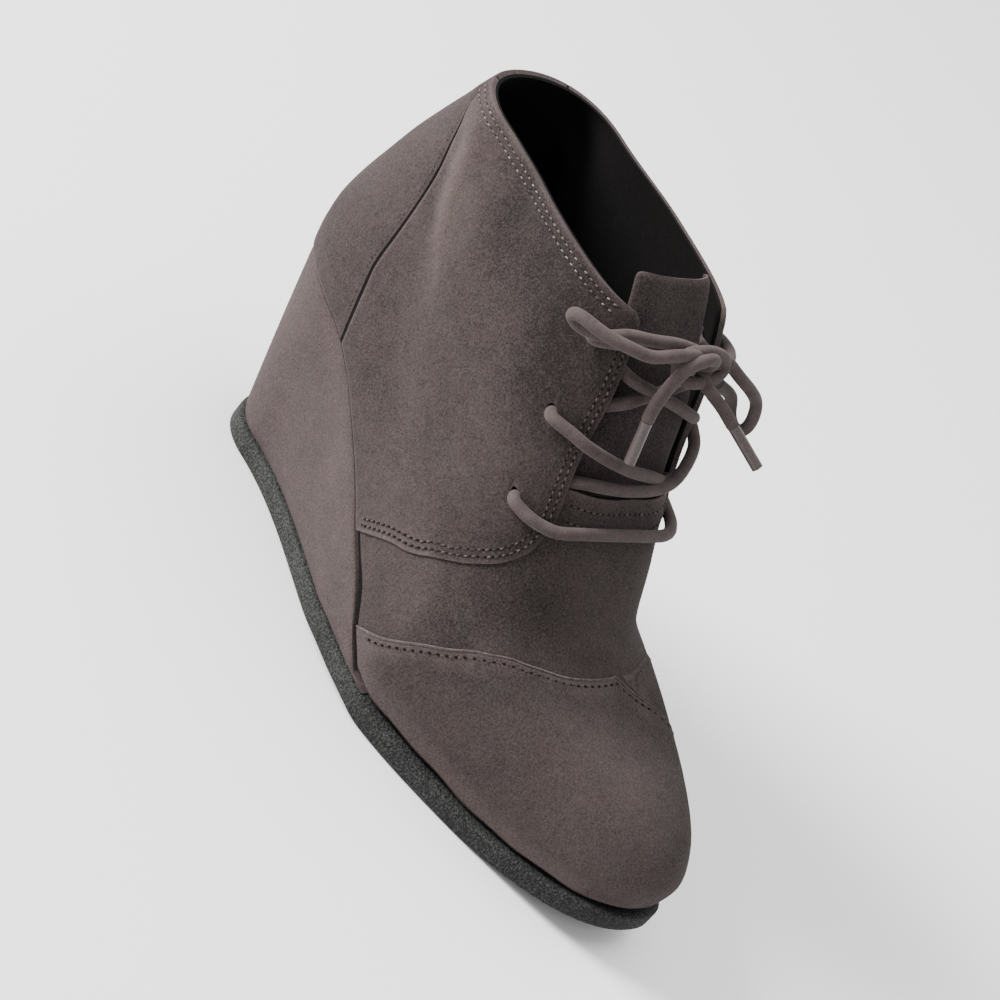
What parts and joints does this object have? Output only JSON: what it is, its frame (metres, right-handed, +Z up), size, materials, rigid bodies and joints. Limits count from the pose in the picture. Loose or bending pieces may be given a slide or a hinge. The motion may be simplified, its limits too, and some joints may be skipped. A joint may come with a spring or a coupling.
{
  "type": "lace-up suede wedge ankle shoe",
  "caption": "Right lace-up ankle shoe of taupe suede on a covered wedge, with a thin black rubber outsole, a stitched open throat and a round lace tied in a bow.",
  "frame": {"origin": "on the floor under the middle of the heel, on the flat heel of the outsole's underside", "axes": "+X along the shoe towards the toe, +Y towards the inner (medial) side, +Z up"},
  "size_m": [0.2417, 0.0896, 0.1563],
  "materials": {
    "suede": "brushed nap, matt, warm taupe",
    "lining": "matt black textile",
    "rubber": "pebbled, matt black",
    "lace": "matt round cord, taupe",
    "aglet": "clear plastic over the cord"
  },
  "bodies": {
    "root": {"outsole": "rubber", "wedge": "suede", "insole": "lining", "upper": "suede", "tongue": "suede", "quarter_lateral": "suede", "quarter_medial": "suede", "heel_counter": "suede", "toe_cap": "suede", "side_gusset": "suede", "lace_bar_low": "lace", "lace_cross_middle": "lace", "lace_cross_top": "lace", "lace_run_lateral": "lace", "lace_run_medial": "lace", "lace_loop_lateral": "lace", "lace_loop_medial": "lace", "lace_end_lateral": "lace", "lace_end_medial": "lace", "lace_knot": "lace", "aglet_lateral": "aglet", "aglet_medial": "aglet"}
  },
  "joints": []
}
